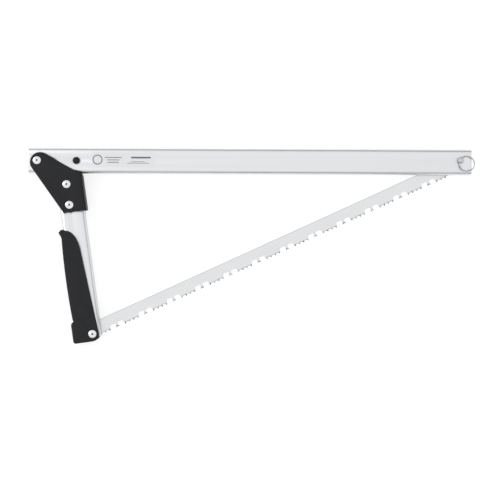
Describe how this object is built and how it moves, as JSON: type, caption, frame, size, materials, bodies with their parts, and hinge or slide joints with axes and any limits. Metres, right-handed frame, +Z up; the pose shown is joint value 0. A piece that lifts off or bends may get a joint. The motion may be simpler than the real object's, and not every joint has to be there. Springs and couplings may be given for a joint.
{
  "type": "folding bow saw",
  "caption": "Folding bow saw: a slotted metal frame tube, a folding handle channel with a black knuckle and tension lever, and a raker-tooth blade pinned at the far end.",
  "frame": {"origin": "Middle of the bounding box's underside: the saw lies on its back face, and Z = 0 is the plane of the lowest rivet heads and the pin's head.", "axes": "+X along the frame tube towards the blade pin, +Y from the tube's slot to its back, +Z up through the thickness towards the labelled face."},
  "size_m": [0.5578, 0.2449, 0.0289],
  "materials": {
    "aluminium_tube": "satin anodised",
    "moulded_black": "fine moulded grain",
    "blade_steel": "ground and lacquered",
    "rivet_aluminium": "bright, domed",
    "mandrel_steel": "dull, sheared",
    "plated_steel": "zinc plated",
    "ring_steel": "bright spring wire",
    "black_screw": "black oxide",
    "label_film": "clear film with grey print",
    "bush_nylon": "natural nylon"
  },
  "bodies": {
    "frame": {"backbone_tube": "aluminium_tube", "pivot_rivet_front": "rivet_aluminium", "pivot_rivet_back": "rivet_aluminium", "pivot_rivet_mandrels": "mandrel_steel", "screw_nut": "plated_steel", "blade_bush_front": "bush_nylon", "blade_bush_back": "bush_nylon", "info_label": "label_film"},
    "handle": {"handle_channel": "aluminium_tube", "knuckle_bracket": "moulded_black", "bracket_rivet_front_upper": "rivet_aluminium", "bracket_rivet_front_lower": "rivet_aluminium", "bracket_rivet_back_upper": "rivet_aluminium", "bracket_rivet_back_lower": "rivet_aluminium", "bracket_rivet_mandrels": "mandrel_steel", "lever_rivet_front": "rivet_aluminium", "lever_rivet_back": "rivet_aluminium", "lever_rivet_mandrels": "mandrel_steel"},
    "lever": {"tension_lever": "moulded_black", "blade_stud_front": "plated_steel", "blade_stud_back": "plated_steel"},
    "blade": {"saw_blade": "blade_steel"},
    "screw": {"set_screw": "black_screw"},
    "pin": {"clevis_pin": "plated_steel", "pin_washer": "plated_steel"},
    "ring": {"split_ring": "ring_steel"}
  },
  "joints": [
    {"name": "handle_fold", "type": "hinge", "parent": "frame", "child": "handle", "pos_m": [-0.268, 0.1065, 0.0145], "axis": [0, 0, 1], "range_deg": [-275.5, 0]},
    {"name": "blade_fold", "type": "hinge", "parent": "frame", "child": "blade", "pos_m": [0.2611, 0.10856, 0.0145], "axis": [0, 0, 1], "range_deg": [-24.7, 0]},
    {"name": "tension_lever", "type": "hinge", "parent": "handle", "child": "lever", "pos_m": [-0.19767, -0.11012, 0.0145], "axis": [0, 0, 1], "range_deg": [0, 105]},
    {"name": "set_screw_turn", "type": "hinge", "parent": "frame", "child": "screw", "pos_m": [-0.2192, 0.1065, 0.0145], "axis": [0, 0, 1], "range_deg": [-100, 360]},
    {"name": "clevis_pin_turn", "type": "hinge", "parent": "frame", "child": "pin", "pos_m": [0.2611, 0.10856, 0.0145], "axis": [0, 0, 1], "continuous": true},
    {"name": "ring_swing", "type": "hinge", "parent": "pin", "child": "ring", "pos_m": [0.2611, 0.10856, 0.02565], "axis": [-0.4756, -0.8796, 0], "range_deg": [0, 180]}
  ],
  "couplings": [
    {"joint": "blade_fold", "follows": "handle_fold", "ratio": 0.08965}
  ]
}
